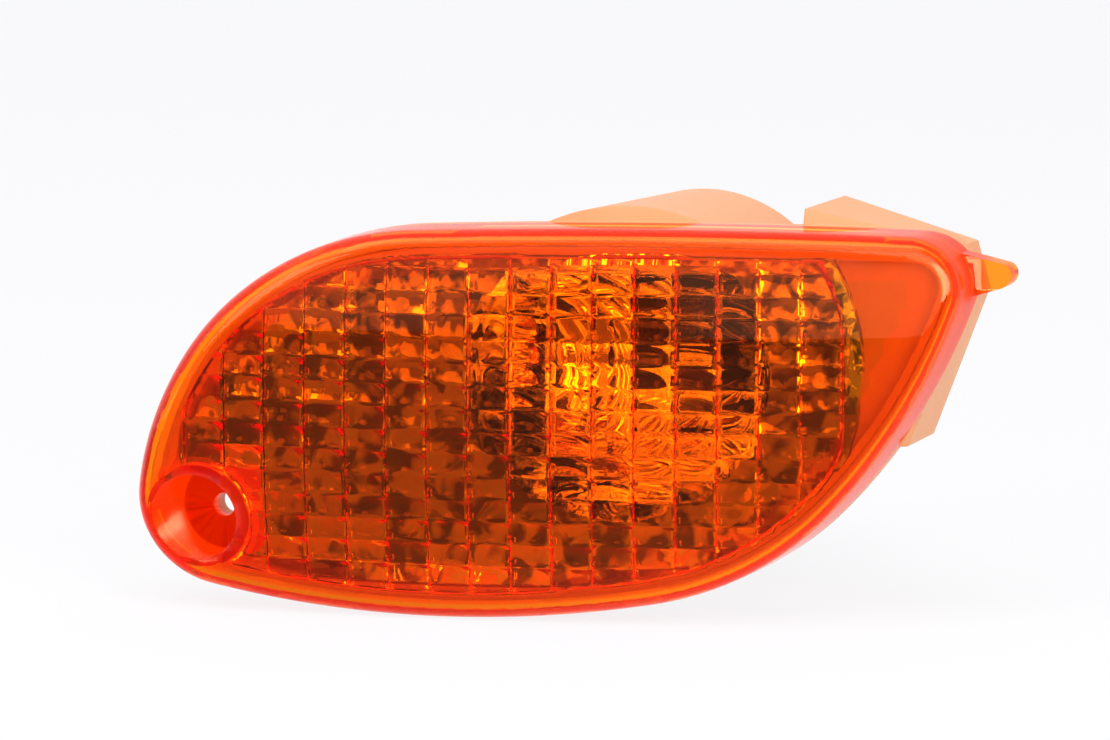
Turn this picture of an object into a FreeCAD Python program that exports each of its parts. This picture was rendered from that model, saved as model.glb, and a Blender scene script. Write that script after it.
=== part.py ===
import FreeCAD, Part
import math
import os

import Sketcher
from FreeCAD import Rotation, Vector

# A bumper indicator lamp: an amber lens with block optics, welded over a pale
# housing that carries a metallised reflector and a bulb in a twist-in holder.
# X runs outboard, Y rearward and Z up; the lens faces -Y. The origin lies on the
# axis of the fixing screw, on the back face of the ear that the screw clamps.
# Lengths are in millimetres, angles in degrees.

DIMENSIONS = (
    # Outline of the lens, a closed chain of tangent arcs seen from the front.
    ("nose_x", 4.75),
    ("nose_z", 3.1),
    ("nose_normal", 258.25),
    ("nose_radius", 18.7),
    ("nose_sweep", 87.5),
    ("left_radius", 77.0),
    ("left_sweep", 22.5),
    ("crown_radius", 59.0),
    ("crown_sweep", 55.0),
    ("top_sweep", 6.5),
    ("corner_radius", 11.4),
    ("corner_sweep", 102.0),
    ("edge_sweep", 27.0),
    ("belly_radius", 62.0),
    ("belly_sweep", 37.5),
    ("bottom_radius", 238.0),
    # Barrel-shaped front: the radius in plan and the radius in a vertical section.
    ("barrel_x", -64.0),
    ("barrel_y", -26.0),
    ("barrel_z", 25.5),
    ("barrel_plan_radius", 450.0),
    ("barrel_drop_radius", 200.0),
    # Lens wall, shoulder, skirt, fixing well and locating tongue.
    ("lens_wall", 2.5),
    ("lens_depth", 10.5),
    ("lens_shoulder", 5.0),
    ("well_radius", 9.2),
    ("well_wall", 1.8),
    ("well_floor", 2.5),
    ("well_web", 12.4),
    ("screw_radius", 2.5),
    ("tongue_x", 153.0),
    ("tongue_z", 53.0),
    ("tongue_reach", 5.6),
    ("tongue_root_width", 10.6),
    ("tongue_tip_radius", 2.7),
    ("tongue_tip_sweep", 140.0),
    ("tongue_thickness", 3.2),
    # Block optics on the inner face of the lens.
    ("optic_first", 7.9),
    ("optic_columns", 16),
    ("optic_rows", 18),
    ("optic_column_width", 8.7),
    ("optic_row_height", 4.8),
    ("optic_column_radius", 12.0),
    ("optic_row_radius", 6.0),
    ("optic_height", 2.5),
    ("optic_tilt", 10.0),
    ("optic_root", 1.2),
    ("optic_inset", 6.0),
    ("optic_reach", 47.0),
    # Bead of sealant round the lens and the spigot that it is squeezed against.
    ("seal_width", 1.5),
    ("seal_height", 2.1),
    ("spigot_wall", 1.8),
    ("spigot_height", 3.5),
    ("seam", 0.15),
    # Housing: tray, bulb pot, tower behind the outboard end, and screw ear.
    ("housing_wall", 2.4),
    ("draft", 4.4),
    ("pot_radius", 31.2),
    ("pot_back", 59.0),
    ("pot_round", 2.0),
    ("tower_draft", 1.0),
    ("tower_back", 50.0),
    ("tower_inboard", 32.75),
    ("tower_low_outboard", 54.75),
    ("tower_mid_outboard", 67.75),
    ("tower_top_outboard", 64.75),
    ("tower_low", 16.0),
    ("tower_mid", 49.0),
    ("tower_shoulder", 59.5),
    ("tower_high", 67.0),
    ("ear_thickness", 3.0),
    ("ear_wall", 2.4),
    ("ear_gap", 0.3),
    ("rib_thickness", 2.0),
    ("rib_height", 5.0),
    # Reflector.
    ("reflector_wall", 1.4),
    ("reflector_gap", 0.6),
    ("focal_length", 9.0),
    ("bulb_hole", 14.5),
    # Bulb, on an axis along Y.
    ("bulb_x", 84.25),
    ("bulb_z", 32.2),
    ("filament_y", 37.0),
    ("light_centre", 31.8),
    ("globe_radius", 12.7),
    ("globe_ahead", 1.8),
    ("glass_wall", 0.8),
    ("neck_radius", 6.7),
    ("neck_y", 52.0),
    ("neck_end", 63.0),
    ("stem_post", 2.2),
    ("stem_top", 47.0),
    ("stem_foot", 3.0),
    ("lead_radius", 0.35),
    ("lead_spread", 3.4),
    ("filament_radius", 0.6),
    ("filament_length", 8.0),
    ("cap_radius", 7.5),
    ("cap_wall", 0.5),
    ("cap_front", 56.5),
    ("cap_end", 74.0),
    ("pin_radius", 1.0),
    ("pin_reach", 8.7),
    ("insulator_thickness", 2.2),
    ("contact_radius", 2.3),
    ("contact_tip_radius", 1.6),
    ("contact_height", 1.2),
    # Bulb holder with its bayonet lugs, grip wings, plug shroud and face seal.
    ("socket_radius", 16.0),
    ("socket_front", 48.0),
    ("socket_bore", 8.9),
    ("socket_gap", 0.3),
    ("collar_wall", 4.2),
    ("collar_height", 4.0),
    ("lug_reach", 2.2),
    ("lug_height", 3.2),
    ("lug_span", 30.0),
    ("lug_count", 3),
    ("lug_slack", 3.0),
    ("holder_turn", 45.0),
    ("flange_radius", 20.5),
    ("flange_thickness", 2.5),
    ("face_seal_inner", 16.6),
    ("face_seal_outer", 19.4),
    ("face_seal_thickness", 1.8),
    ("back_radius", 13.5),
    ("partition_front", 77.0),
    ("partition_thickness", 3.0),
    ("wing_reach", 19.5),
    ("wing_thickness", 4.0),
    ("shroud_width", 22.0),
    ("shroud_height", 13.0),
    ("shroud_wall", 1.8),
    ("shroud_end", 94.0),
    # Contacts.
    ("sleeve_inner", 7.8),
    ("sleeve_wall", 0.7),
    ("sleeve_front", 50.0),
    ("sleeve_back", 71.5),
    ("slot_width", 2.6),
    ("slot_turn", 22.0),
    ("blade_offset", 4.5),
    ("blade_width", 6.3),
    ("blade_thickness", 0.8),
    ("blade_end", 91.0),
    ("blade_gap", 0.1),
    ("leaf_width", 4.0),
    # Breather on the back of the pot.
    ("breather_drop", 25.6),
    ("breather_bore", 1.3),
    ("breather_spigot", 2.4),
    ("breather_length", 6.0),
    ("breather_wall", 1.5),
    ("breather_end", 2.0),
)

doc = FreeCAD.newDocument("indicator_lamp")
sheet = doc.addObject("Spreadsheet::Sheet", "dim")
for row, (alias, number) in enumerate(DIMENSIONS, start=1):
    sheet.set("A%d" % row, alias)
    sheet.set("B%d" % row, str(number))
    sheet.setAlias("B%d" % row, alias)
doc.recompute()

REAR = Vector(0, 1, 0)
UP = Vector(0, 0, 1)
FAR_FRONT = -60.0
FAR_BACK = 160.0
ARC_NAMES = ("nose", "left", "crown", "top", "corner", "edge", "belly", "bottom")

parts = {}


def size(alias):
    return float(sheet.get(alias))


def formula(expression):
    return float(sheet.evalExpression(expression))


def solid_part(label, shape):
    feature = doc.addObject("Part::Feature", label)
    feature.Shape = shape.removeSplitter()
    feature.Label = label
    parts[label] = feature
    return feature


# The outline: arcs that meet on a common normal, so each centre follows from the
# one before. The top and edge radii are the two that close the chain.
def outline_arcs():
    sweeps = {name: size(name + "_sweep") for name in ARC_NAMES[:-1]}
    sweeps["bottom"] = 360.0 - sum(sweeps.values())
    given = [name for name in ARC_NAMES if name not in ("top", "edge")]
    radii = {name: size(name + "_radius") for name in given}
    ends = []
    angle = size("nose_normal")
    for name in ARC_NAMES:
        angle -= sweeps[name]
        ends.append(angle)
    normals = [(math.cos(math.radians(a)), math.sin(math.radians(a))) for a in ends]

    def closure(name):
        index = ARC_NAMES.index(name)
        return [normals[index][k] - normals[index - 1][k] for k in (0, 1)]

    top, edge = closure("top"), closure("edge")
    rest = [-sum(radii[name] * closure(name)[k] for name in given) for k in (0, 1)]
    scale = top[0] * edge[1] - top[1] * edge[0]
    radii["top"] = (rest[0] * edge[1] - rest[1] * edge[0]) / scale
    radii["edge"] = (top[0] * rest[1] - top[1] * rest[0]) / scale

    arcs = []
    centre = (size("nose_x"), size("nose_z"))
    start = size("nose_normal")
    for index, name in enumerate(ARC_NAMES):
        arcs.append((centre, radii[name], start, ends[index]))
        follower = ARC_NAMES[(index + 1) % len(ARC_NAMES)]
        step = radii[name] - radii[follower]
        centre = tuple(centre[k] + step * normals[index][k] for k in (0, 1))
        start = ends[index]
    return arcs


ARCS = outline_arcs()


def on_circle(centre, radius, angle, y):
    turn = math.radians(angle)
    return Vector(centre[0] + radius * math.cos(turn), y, centre[1] + radius * math.sin(turn))


def column_of(face):
    """The face, drawn in the far front plane, carried right through the lamp."""
    return face.extrude(Vector(0, FAR_BACK - FAR_FRONT, 0))


def outline_face(inset):
    edges = []
    for centre, radius, start, end in ARCS:
        points = [on_circle(centre, radius - inset, angle, FAR_FRONT)
                  for angle in (start, (start + end) / 2, end)]
        edges.append(Part.Arc(*points).toShape())
    return Part.Face(Part.Wire(edges))


def disc_face(radius, x, z):
    return Part.Face(Part.Wire(Part.makeCircle(radius, Vector(x, FAR_FRONT, z), REAR)))


def well_face(gap):
    """The screw well and the web that joins it to the skirt at the nose."""
    toward = Vector(-size("nose_x"), 0, -size("nose_z")).normalize()
    across = toward.cross(REAR) * (size("well_web") / 2 + gap)
    reach = toward * size("nose_radius")
    foot = Vector(0, FAR_FRONT, 0)
    corners = [foot - across, foot + across, foot + across + reach, foot - across + reach]
    web = Part.Face(Part.makePolygon(corners + corners[:1]))
    return disc_face(WELL_OUTER + gap, 0, 0).fuse(web).removeSplitter().Faces[0]


def rim_ring(outer, inner):
    """A ring that follows the outline between two insets, broken at the well."""
    ring = outline_face(outer).cut(outline_face(inner))
    return column_of(ring.cut(well_face(size("ear_gap"))))


def outline_prism(inset):
    return column_of(outline_face(inset))


def behind_barrel(depth):
    """Everything that lies deeper than this below the front surface."""
    plan = size("barrel_plan_radius")
    drop = size("barrel_drop_radius")
    centre = Vector(size("barrel_x"), size("barrel_y") + plan, size("barrel_z"))
    return Part.makeTorus(plan - drop, drop - depth, centre, UP)


def cylinder(radius, x, z, front, back):
    return Part.makeCylinder(radius, back - front, Vector(x, front, z), REAR)


def screw_cylinder(radius, front, back):
    return cylinder(radius, 0, 0, front, back)


def bulb_cylinder(radius, front, back):
    return cylinder(radius, size("bulb_x"), size("bulb_z"), front, back)


def turned_shape(edges):
    """A solid of revolution about the bulb axis, from edges in (radius, y)."""
    solid = Part.Face(Part.Wire(edges)).revolve(Vector(), REAR, 360)
    solid.translate(Vector(size("bulb_x"), 0, size("bulb_z")))
    return solid


def lines(*corners):
    points = [Vector(radius, y, 0) for radius, y in corners]
    return [Part.makeLine(a, b) for a, b in zip(points, points[1:])]


# Depths below the front surface at which the pieces of the rim meet.
TRAY_FRONT = size("lens_depth") + size("seam")
TRAY_BACK = TRAY_FRONT + size("housing_wall")
SPIGOT_OUTER = size("lens_wall") + size("seal_width") + 2 * size("seam")
SPIGOT_INNER = SPIGOT_OUTER + size("spigot_wall")
EAR_FRONT = -size("ear_thickness")
WELL_OUTER = size("well_radius") + size("well_wall")
WELL_CLEAR = WELL_OUTER + size("ear_gap")
DRAFT = math.tan(math.radians(size("draft")))
TOWER_DRAFT = math.tan(math.radians(size("tower_draft")))


# Lens: a barrel-fronted cap with a rounded shoulder, hollowed to its wall.
def front_edges(solid, depth):
    plan = size("barrel_plan_radius")
    drop = size("barrel_drop_radius")
    found = []
    for edge in solid.Edges:
        middle = edge.valueAt((edge.FirstParameter + edge.LastParameter) / 2)
        across = math.hypot(middle.x - size("barrel_x"), middle.y - size("barrel_y") - plan)
        tube = math.hypot(across - (plan - drop), middle.z - size("barrel_z"))
        if abs(tube - (drop - depth)) < 0.001:
            found.append(edge)
    return found


def rounded_front(inset, depth, radius):
    solid = outline_prism(inset).common(behind_barrel(depth))
    return solid.makeFillet(radius, front_edges(solid, depth))


def optic_column():
    """One column of pillows on the crest line of the barrel, turned to its tilt."""
    plan = size("barrel_plan_radius")
    crest = size("lens_wall") + size("optic_height")
    drop = size("barrel_drop_radius") - crest
    sweep = size("optic_row_height") / drop
    sag = size("optic_row_radius") - math.sqrt(
        size("optic_row_radius") ** 2 - (size("optic_row_height") / 2) ** 2)
    own = size("optic_column_radius")
    count = int(size("optic_rows"))

    def at(radius, angle):
        across = own + drop - radius * math.cos(angle)
        return Vector(across, 0, radius * math.sin(angle))

    edges = []
    for row in range(count):
        low = (row - count / 2) * sweep
        ends = (at(drop + sag, low), at(drop, low + sweep / 2), at(drop + sag, low + sweep))
        edges.append(Part.Arc(*ends).toShape())
    bottom = at(drop + sag, -count / 2 * sweep)
    top = at(drop + sag, count / 2 * sweep)
    foot = Vector(0, 0, bottom.z)
    head = Vector(0, 0, top.z)
    edges += [Part.makeLine(top, head), Part.makeLine(head, foot), Part.makeLine(foot, bottom)]
    beads = Part.Face(Part.Wire(edges)).revolve(Vector(), UP, 360)
    tilt = math.radians(size("optic_tilt"))
    crest_y = size("barrel_y") + crest
    beads.translate(Vector(size("barrel_x") - own * math.sin(tilt),
                           crest_y - own * math.cos(tilt), size("barrel_z")))

    half = size("optic_column_width") / (plan - size("lens_wall")) / 2
    axis = Vector(size("barrel_x"), size("barrel_y") + plan, FAR_FRONT)
    corners = [axis]
    for side in (-1, 1):
        corners.append(axis + Vector(math.sin(half) * side, -math.cos(half), 0) * plan)
    wedge = Part.Face(Part.makePolygon(corners + [axis])).extrude(UP * (FAR_BACK - FAR_FRONT))
    return beads.common(wedge).common(behind_barrel(size("lens_wall") - size("optic_root")))


def lit_zone(inset, reach):
    """The lit field inside the rim: up to an arc round the bulb and clear of the well."""
    x, z = size("bulb_x"), size("bulb_z")
    corners = [Vector(-FAR_BACK, FAR_FRONT, -FAR_BACK), Vector(x, FAR_FRONT, -FAR_BACK),
               Vector(x, FAR_FRONT, FAR_BACK), Vector(-FAR_BACK, FAR_FRONT, FAR_BACK)]
    inboard = Part.Face(Part.makePolygon(corners + corners[:1]))
    field = outline_face(inset).common(inboard.fuse(disc_face(reach, x, z)))
    return column_of(field.cut(well_face(size("ear_gap"))))


def block_optics():
    plan = size("barrel_plan_radius")
    axis = Vector(size("barrel_x"), size("barrel_y") + plan, 0)
    pitch = math.degrees(size("optic_column_width") / (plan - size("lens_wall")))
    column = optic_column()
    columns = []
    for index in range(int(size("optic_columns"))):
        turned = column.copy()
        turned.rotate(axis, UP, size("optic_first") + (index + 0.5) * pitch)
        columns.append(turned)
    field = columns[0].fuse(columns[1:])
    return field.common(lit_zone(size("optic_inset"), size("optic_reach")))


def tongue():
    root = size("tongue_root_width") / 2
    tip = size("tongue_tip_radius")
    x, z = size("tongue_x"), size("tongue_z")
    end = x + size("tongue_reach")
    buried = x - root
    tip_centre = (end - tip, z)
    upper = Vector(buried, FAR_FRONT, z + root)
    lower = Vector(buried, FAR_FRONT, z - root)
    lean = size("tongue_tip_sweep") / 2
    arc = [on_circle(tip_centre, tip, angle, FAR_FRONT) for angle in (lean, 0, -lean)]
    wire = Part.Wire([Part.makeLine(upper, arc[0]), Part.Arc(*arc).toShape(),
                      Part.makeLine(arc[2], lower), Part.makeLine(lower, upper)])
    plate = column_of(Part.Face(wire)).cut(behind_barrel(size("lens_depth")))
    return plate.common(behind_barrel(size("lens_depth") - size("tongue_thickness")))


def screw_well():
    """The solid head behind the front wall, and the tube that goes on to the ear."""
    half = size("lens_wall") / 2
    inside = rounded_front(half, half, size("lens_shoulder") - half)
    head = inside.common(column_of(well_face(0))).cut(behind_barrel(size("lens_depth")))
    tube = screw_cylinder(WELL_OUTER, FAR_FRONT, EAR_FRONT)
    return [head, tube.common(behind_barrel(size("lens_depth") - half))]


def build_lens():
    wall = size("lens_wall")
    front = rounded_front(0, 0, size("lens_shoulder"))
    cavity = rounded_front(wall, wall, size("lens_shoulder") - wall)
    shell = front.cut(behind_barrel(size("lens_depth"))).cut(cavity)
    lug = tongue().cut(outline_prism(wall / 2))
    lens = shell.fuse(screw_well() + [lug, block_optics()])
    lens = lens.cut(screw_cylinder(size("well_radius"), FAR_FRONT, EAR_FRONT - size("well_floor")))
    solid_part("lens", lens.cut(screw_cylinder(size("screw_radius"), FAR_FRONT, FAR_BACK)))


# Seal: a bead of silicone in the corner between the skirt and the spigot.
def build_seal():
    ring = rim_ring(size("lens_wall") + size("seam"), SPIGOT_OUTER - size("seam"))
    ring = ring.common(behind_barrel(size("lens_depth") - size("seal_height")))
    solid_part("lens_seal", ring.cut(behind_barrel(size("lens_depth"))))


# Housing: one moulding with draft on every wall that stands back from the tray. The
# pot opens to the front, the tower to the rear.
def inset_polygon(corners, inset):
    moved = []
    count = len(corners)
    for index in range(count):
        before, here, after = corners[index - 1], corners[index], corners[(index + 1) % count]
        first = (here - before).normalize()
        second = (after - here).normalize()
        inward = Vector(-first.z, 0, first.x) + Vector(-second.z, 0, second.x)
        moved.append(here + inward * (inset / (1 + first.dot(second))))
    return moved


def tower(inset, draft, back):
    """The box behind the outboard end, narrowing rearward by its draft."""
    base = []
    for outboard, z in (("tower_inboard", "tower_low"), ("tower_low_outboard", "tower_low"),
                        ("tower_mid_outboard", "tower_mid"), ("tower_top_outboard", "tower_shoulder"),
                        ("tower_inboard", "tower_high")):
        base.append(Vector(size("bulb_x") + size(outboard), 0, size(z)))
    rings = []
    for y in (0, back):
        corners = [corner + REAR * y for corner in inset_polygon(base, inset + y * draft)]
        rings.append(Part.makePolygon(corners + corners[:1]))
    return Part.makeLoft(rings, True, True)


def pot_radius(y, inset):
    return size("pot_radius") + (size("pot_back") - y) * DRAFT - inset


def pot(inset, back):
    front = FAR_FRONT
    solid = turned_shape(lines((0, front), (pot_radius(front, inset), front),
                               (pot_radius(back, inset), back), (0, back), (0, front)))
    rim = [edge for edge in solid.Edges
           if abs(edge.BoundBox.YMin - back) < 0.01 and edge.Length > 6 * size("pot_round")]
    return solid.makeFillet(size("pot_round"), rim)


def ribs():
    """Stiffeners on the back of the tray, from the ear to the pot and across."""
    thick = size("rib_thickness")
    reach = size("bulb_x") - size("pot_radius") - WELL_CLEAR
    through = FAR_BACK - FAR_FRONT
    strips = []
    for z in (0, size("bulb_z")):
        strips.append(Part.makeBox(reach, through, thick, Vector(WELL_CLEAR, FAR_FRONT, z - thick / 2)))
    for share in (1, 2):
        x = WELL_CLEAR + reach * share / 3
        strips.append(Part.makeBox(thick, through, through, Vector(x - thick / 2, FAR_FRONT, FAR_FRONT)))
    grid = strips[0].fuse(strips[1:]).common(outline_prism(SPIGOT_INNER))
    grid = grid.cut(behind_barrel(TRAY_BACK + size("rib_height")))
    return grid.common(behind_barrel(TRAY_BACK - size("housing_wall") / 2))


def holder_socket_cut():
    """The hole for the bulb holder, with a slot for each of its bayonet lugs."""
    gap = size("socket_gap")
    front = size("pot_back") - 2 * size("housing_wall")
    back = size("pot_back") + 2 * size("collar_height")
    cut = bulb_cylinder(size("socket_radius") + gap, front, back)
    reach = size("socket_radius") + size("lug_reach") + gap
    span = size("lug_span") + 2 * size("lug_slack")
    return cut.fuse(lug_ring(reach, front, back, span, size("holder_turn")))


def lug_ring(reach, front, back, span, turn):
    sectors = []
    for index in range(int(size("lug_count"))):
        sector = Part.makeCylinder(reach, back - front, Vector(0, front, 0), REAR, span)
        sector.rotate(Vector(), REAR, turn - span / 2 + index * 360 / size("lug_count"))
        sector.translate(Vector(size("bulb_x"), 0, size("bulb_z")))
        sectors.append(sector)
    return sectors[0].fuse(sectors[1:])


def build_housing():
    wall = size("housing_wall")
    back = size("pot_back")
    footprint = outline_prism(size("seam"))
    tray = footprint.common(behind_barrel(TRAY_FRONT)).cut(behind_barrel(TRAY_BACK))
    rear = behind_barrel(TRAY_FRONT + wall / 2)
    spigot = rim_ring(SPIGOT_OUTER, SPIGOT_INNER).cut(rear)
    spigot = spigot.common(behind_barrel(TRAY_FRONT - size("spigot_height")))
    ear = screw_cylinder(WELL_CLEAR + size("ear_wall"), FAR_FRONT, 0).common(rear).common(footprint)
    tower_back = size("tower_back")
    bulb_pot = pot(0, back).common(rear)
    shell = bulb_pot.fuse([tray.cut(bulb_pot), spigot, ear, ribs(),
                           tower(0, TOWER_DRAFT, tower_back).common(rear)])
    collar_end = back + size("collar_height")
    collar = bulb_cylinder(size("socket_radius") + size("collar_wall"), back - wall, collar_end)
    vent_x, vent_z = size("bulb_x"), size("bulb_z") - size("breather_drop")
    vent_end = back + size("breather_length")
    vent = cylinder(size("breather_spigot"), vent_x, vent_z, back - wall, vent_end)
    tower_space = tower(wall + tower_back * TOWER_DRAFT, 0, tower_back + wall)
    shell = shell.cut(tower_space.common(behind_barrel(TRAY_BACK)))
    shell = shell.cut(pot(wall, back - wall).common(outline_prism(SPIGOT_INNER)))
    shell = shell.fuse([collar, vent])
    shell = shell.cut(holder_socket_cut())
    shell = shell.cut(cylinder(size("breather_bore"), vent_x, vent_z, back - 2 * wall, FAR_BACK))
    shell = shell.cut(screw_cylinder(WELL_CLEAR, FAR_FRONT, EAR_FRONT))
    solid_part("housing", shell.cut(screw_cylinder(size("screw_radius"), FAR_FRONT, FAR_BACK)))


# Reflector: a flange on the tray, a liner down the pot and a parabolic bowl.
def bowl(inset, vertex):
    """The space inside the liner and the bowl, as a turned solid."""
    focal = size("focal_length")
    low, high = FAR_FRONT, vertex
    for _ in range(60):
        middle = (low + high) / 2
        if pot_radius(middle, inset) ** 2 < 4 * focal * (vertex - middle):
            low = middle
        else:
            high = middle
    rim = pot_radius(low, inset)
    tangent = Vector(rim / 2, low + rim / (2 * focal) * rim / 2, 0)
    curve = Part.BezierCurve()
    curve.setPoles([Vector(rim, low, 0), tangent, Vector(0, vertex, 0)])
    sides = lines((0, vertex), (0, FAR_FRONT), (pot_radius(FAR_FRONT, inset), FAR_FRONT), (rim, low))
    return turned_shape(sides + [curve.toShape()])


def build_reflector():
    wall = size("reflector_wall")
    inset = SPIGOT_INNER + size("reflector_gap")
    bowl_inset = size("housing_wall") + size("reflector_gap")
    vertex = size("filament_y") + size("focal_length")
    flange_back = TRAY_FRONT - size("seam")
    flange_front = flange_back - wall
    flange = lit_zone(inset, size("optic_reach"))
    flange = flange.common(behind_barrel(flange_front)).cut(behind_barrel(flange_back))
    liner = bowl(bowl_inset, vertex + wall).common(outline_prism(inset))
    liner = liner.common(behind_barrel(flange_front))
    void = bowl(bowl_inset + wall, vertex).common(outline_prism(inset + wall))
    hole = bulb_cylinder(size("bulb_hole"), FAR_FRONT, FAR_BACK)
    solid_part("reflector", flange.fuse(liner).cut(void).cut(hole))


# Turned pieces on the bulb axis, each a body whose profile is bound to the sheet.
def on_bulb_axis(item):
    item.setExpression("Placement.Base.x", "dim.bulb_x")
    item.setExpression("Placement.Base.z", "dim.bulb_z")


def turned_body(label, corners):
    """Corners are (radius, y) formulas, in order round the profile."""
    body = doc.addObject("PartDesign::Body", label)
    sketch = body.newObject("Sketcher::SketchObject", label + "_profile")
    planes = [plane for plane in body.Origin.OriginFeatures if plane.Role == "XY_Plane"]
    sketch.AttachmentSupport = [(planes[0], "")]
    sketch.MapMode = "FlatFace"
    places = [Vector(formula(radius), formula(y), 0) for radius, y in corners]
    count = len(places)
    for index in range(count):
        sketch.addGeometry(Part.LineSegment(places[index], places[(index + 1) % count]), False)
    for index in range(count):
        sketch.addConstraint(Sketcher.Constraint("Coincident", index, 2, (index + 1) % count, 1))
    for index, (radius, y) in enumerate(corners):
        if radius == "0":
            sketch.addConstraint(Sketcher.Constraint("PointOnObject", index, 1, -2))
        else:
            bind(sketch, "DistanceX", index, places[index].x, radius)
        bind(sketch, "DistanceY", index, places[index].y, y)
    turn = body.newObject("PartDesign::Revolution", label + "_turn")
    turn.Profile = sketch
    turn.ReferenceAxis = (sketch, ["V_Axis"])
    turn.Angle = 360
    on_bulb_axis(body)
    return body


def bind(sketch, kind, index, number, expression):
    place = sketch.addConstraint(Sketcher.Constraint(kind, -1, 1, index, 1, number))
    sketch.setExpression("Constraints[%d]" % place, expression)


def box(label, corner, extent):
    """A block on the bulb axis; corner and extent are formulas for X, Y and Z."""
    block = doc.addObject("Part::Box", label)
    for prop, expression in zip(("Length", "Width", "Height"), extent):
        block.setExpression(prop, expression)
    block.setExpression("Placement.Base.x", "dim.bulb_x + " + corner[0])
    block.setExpression("Placement.Base.y", corner[1])
    block.setExpression("Placement.Base.z", "dim.bulb_z + " + corner[2])
    return block


def rod(label, radius, front, length):
    """A cylinder on the bulb axis; radius, front and length are formulas."""
    pin = doc.addObject("Part::Cylinder", label)
    pin.setExpression("Radius", radius)
    pin.setExpression("Height", length)
    pin.Placement.Rotation = Rotation(Vector(1, 0, 0), -90)
    pin.setExpression("Placement.Base.y", front)
    on_bulb_axis(pin)
    return pin


def cross_rod(label, radius, y, reach):
    """A cylinder across the bulb axis, along X."""
    pin = doc.addObject("Part::Cylinder", label)
    pin.setExpression("Radius", radius)
    pin.setExpression("Height", "2 * " + reach)
    pin.Placement.Rotation = Rotation(Vector(0, 1, 0), 90)
    pin.setExpression("Placement.Base.x", "dim.bulb_x - " + reach)
    pin.setExpression("Placement.Base.y", y)
    pin.setExpression("Placement.Base.z", "dim.bulb_z")
    return pin


def fuse(label, members):
    union = doc.addObject("Part::MultiFuse", label)
    union.Shapes = members
    union.Refine = True
    return union


def cut(label, base, tool):
    difference = doc.addObject("Part::Cut", label)
    difference.Base = base
    difference.Tool = tool
    difference.Refine = True
    return difference


def common(label, base, tool):
    overlap = doc.addObject("Part::Common", label)
    overlap.Base = base
    overlap.Tool = tool
    return overlap


def keep(label, item):
    item.Label = label
    parts[label] = item


# Bulb: a glass globe with its stem, leads and filament, in a bayonet cap.
def globe(radius, neck, end):
    """The round front and the tapering neck, as a turned solid."""
    centre = size("filament_y") - size("globe_ahead")
    distance = math.hypot(neck, size("neck_y") - centre)
    lean = math.atan2(neck, size("neck_y") - centre) + math.acos(radius / distance)
    touch = (radius * math.sin(lean), centre + radius * math.cos(lean))
    tip = centre - radius
    half = (math.pi + lean) / 2
    side = Vector(radius * math.sin(half), centre + radius * math.cos(half), 0)
    arc = Part.Arc(Vector(0, tip, 0), side, Vector(touch[0], touch[1], 0))
    walls = lines(touch, (neck, size("neck_y")), (neck, end), (0, end), (0, tip))
    return turned_shape([arc.toShape()] + walls)


def build_glass():
    wall = size("glass_wall")
    outer = globe(size("globe_radius"), size("neck_radius"), size("neck_end"))
    inner = globe(size("globe_radius") - wall, size("neck_radius") - wall, size("neck_end") + wall)
    solid_part("bulb_glass", outer.cut(inner))


def build_bulb():
    build_glass()
    plug = "dim.neck_radius - dim.glass_wall - dim.seam"
    keep("bulb_stem", turned_body("bulb_stem", (
        ("0", "dim.stem_top"), ("dim.stem_post", "dim.stem_top"),
        ("dim.stem_post", "dim.neck_end - 2 * dim.stem_foot"), (plug, "dim.neck_end - dim.stem_foot"),
        (plug, "dim.neck_end"), ("0", "dim.neck_end"))))
    keep("filament", cross_rod("coil", "dim.filament_radius", "dim.filament_y",
                               "dim.filament_length / 2"))

    leads = []
    foot = Vector(size("bulb_x"), size("stem_top"), size("bulb_z"))
    end_y = size("filament_y") + size("filament_radius")
    for side in (-1, 1):
        start = foot + Vector(side * size("stem_post") / 2, 0, 0)
        end = Vector(foot.x + side * size("lead_spread"), end_y, foot.z)
        run = end - start
        leads.append(Part.makeCylinder(size("lead_radius"), run.Length, start, run))
    below = bulb_cylinder(size("globe_radius"), size("stem_top"), size("neck_end"))
    ahead = cylinder_along_x(size("filament_radius") + size("seam") / 2)
    solid_part("lead_wires", Part.makeCompound(leads).cut(below).cut(ahead))

    outer, inner = "dim.cap_radius", "dim.cap_radius - dim.cap_wall"
    shell = turned_body("cap_shell", (
        (inner, "dim.cap_front"), (outer, "dim.cap_front"),
        (outer, "dim.cap_end"), (inner, "dim.cap_end")))
    pins = cross_rod("cap_pins", "dim.pin_radius", "dim.filament_y + dim.light_centre",
                     "dim.pin_reach")
    bore = rod("cap_bore", inner, "dim.cap_front", "dim.cap_end - dim.cap_front")
    keep("bulb_cap", fuse("cap", [shell, cut("pin_ends", pins, bore)]))

    keep("cap_insulator", turned_body("cap_insulator", (
        ("0", "dim.cap_end - dim.insulator_thickness"),
        ("dim.cap_radius - dim.cap_wall - dim.seam / 2", "dim.cap_end - dim.insulator_thickness"),
        ("dim.cap_radius - dim.cap_wall - dim.seam / 2", "dim.cap_end"), ("0", "dim.cap_end"))))
    keep("centre_contact", turned_body("centre_contact", (
        ("0", "dim.cap_end"), ("dim.contact_radius", "dim.cap_end"),
        ("dim.contact_tip_radius", "dim.cap_end + dim.contact_height"),
        ("0", "dim.cap_end + dim.contact_height"))))


def cylinder_along_x(radius):
    reach = size("filament_length")
    start = Vector(size("bulb_x") - reach, size("filament_y"), size("bulb_z"))
    return Part.makeCylinder(radius, 2 * reach, start, Vector(1, 0, 0))


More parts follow.
